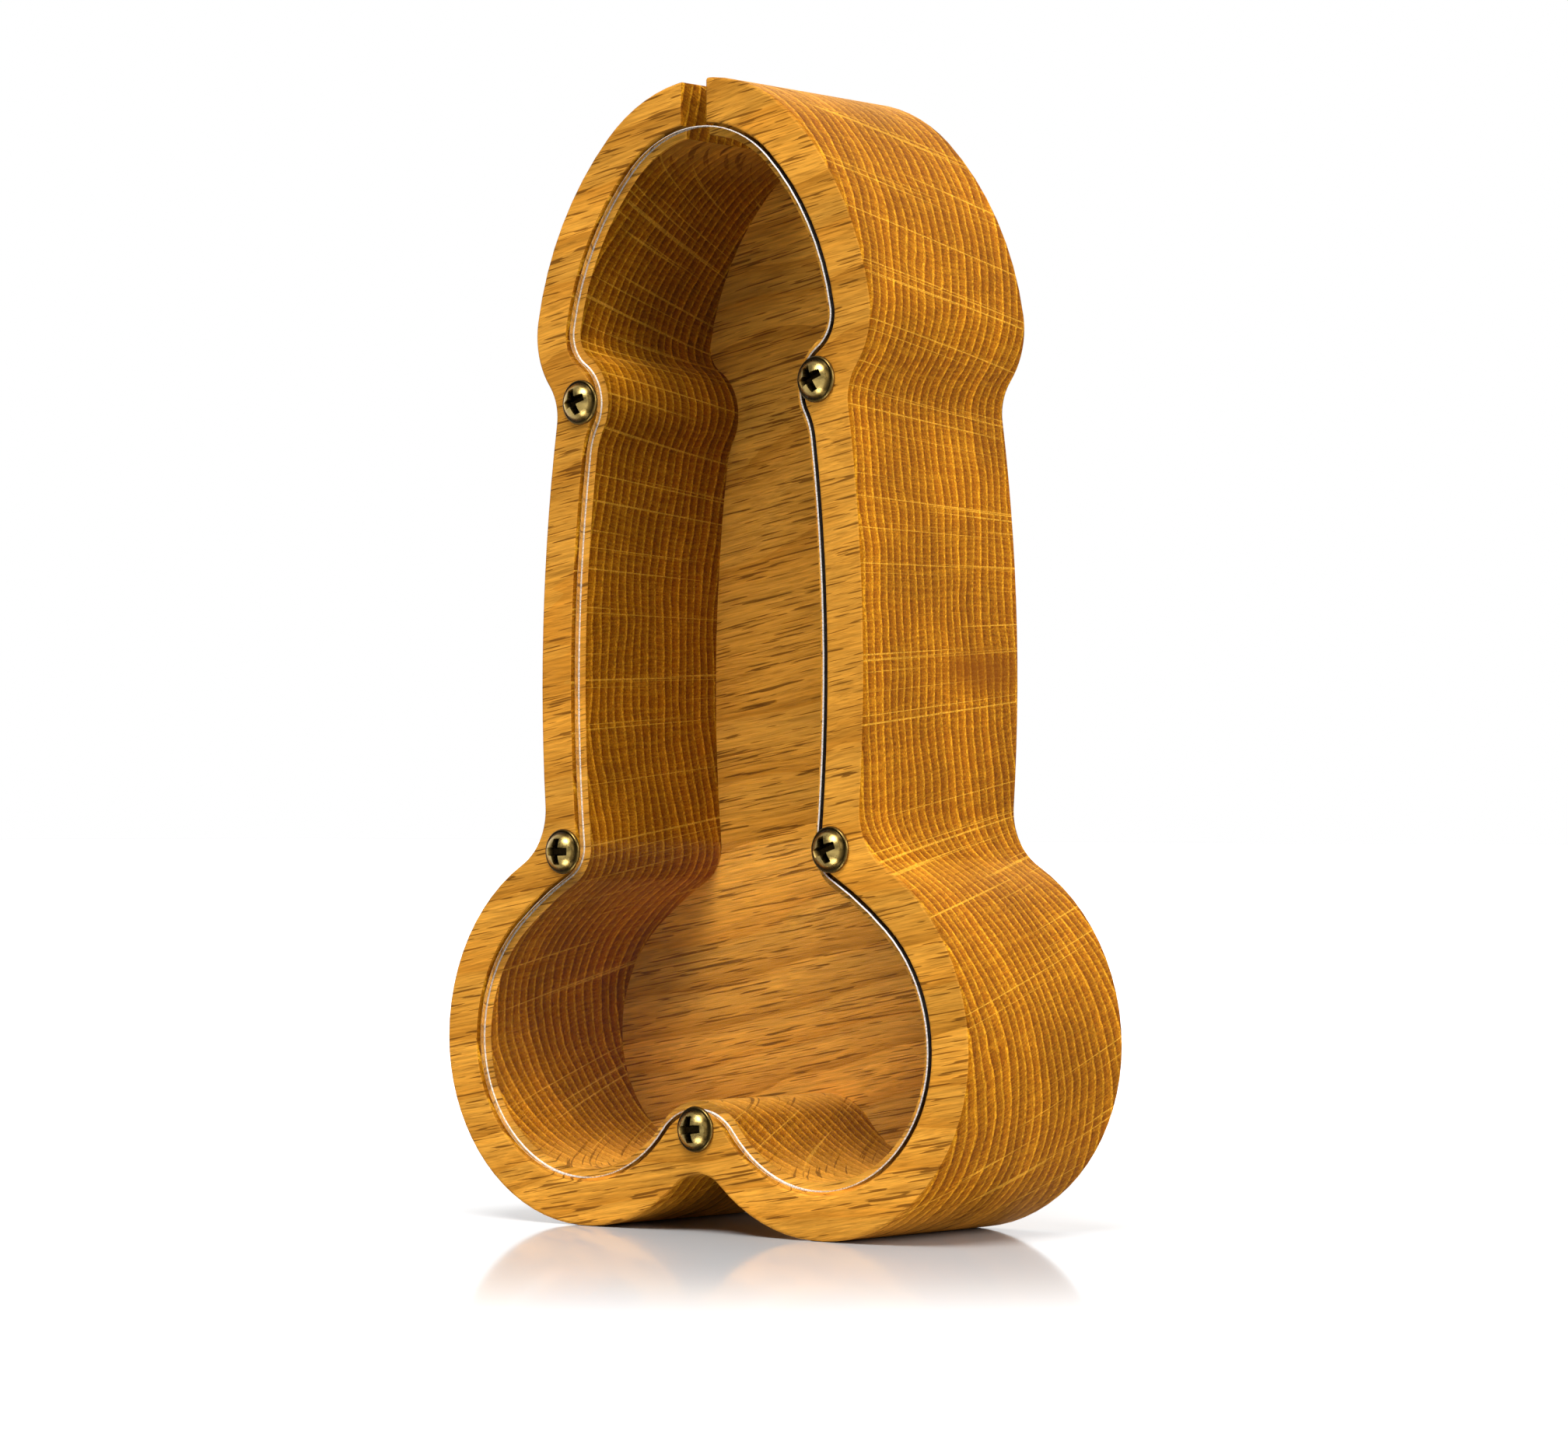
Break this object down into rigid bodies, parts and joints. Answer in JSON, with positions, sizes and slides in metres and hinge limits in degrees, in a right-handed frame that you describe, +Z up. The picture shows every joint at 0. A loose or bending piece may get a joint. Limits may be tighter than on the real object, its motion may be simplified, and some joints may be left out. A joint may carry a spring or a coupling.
{
  "type": "wooden money box",
  "caption": "Upright wooden money box: a routed block with a rounded head, straight shaft and lobed foot, a clear screwed-on front window and a coin slot in the crown.",
  "frame": {"origin": "middle of the bounding box in plan, at the lowest line of the two foot lobes, which is the surface that the box stands on", "axes": "+Z up to the crown, front with the window faces -Y, +X to the right as seen by somebody facing the +Y direction"},
  "size_m": [0.1064, 0.0413, 0.18],
  "materials": {
    "oak": "oiled oak, satin",
    "clear_sheet": "clear acrylic sheet, polished faces and sawn edges",
    "screw_brass": "antique brass, polished dome and dark recess"
  },
  "bodies": {
    "block": {"block": "oak"},
    "window": {"window": "clear_sheet"},
    "screw_neck_left": {"screw_neck_left": "screw_brass"},
    "screw_neck_right": {"screw_neck_right": "screw_brass"},
    "screw_waist_left": {"screw_waist_left": "screw_brass"},
    "screw_waist_right": {"screw_waist_right": "screw_brass"},
    "screw_foot": {"screw_foot": "screw_brass"}
  },
  "joints": [
    {"name": "window_lift", "type": "slide", "parent": "block", "child": "window", "axis": [0, -1, 0], "range_m": [0, 0.03]},
    {"name": "neck_left_unscrew", "type": "slide", "parent": "window", "child": "screw_neck_left", "axis": [0, -1, 0], "range_m": [0, 0.016]},
    {"name": "neck_right_unscrew", "type": "slide", "parent": "window", "child": "screw_neck_right", "axis": [0, -1, 0], "range_m": [0, 0.016]},
    {"name": "waist_left_unscrew", "type": "slide", "parent": "window", "child": "screw_waist_left", "axis": [0, -1, 0], "range_m": [0, 0.016]},
    {"name": "waist_right_unscrew", "type": "slide", "parent": "window", "child": "screw_waist_right", "axis": [0, -1, 0], "range_m": [0, 0.016]},
    {"name": "foot_unscrew", "type": "slide", "parent": "window", "child": "screw_foot", "axis": [0, -1, 0], "range_m": [0, 0.016]}
  ]
}
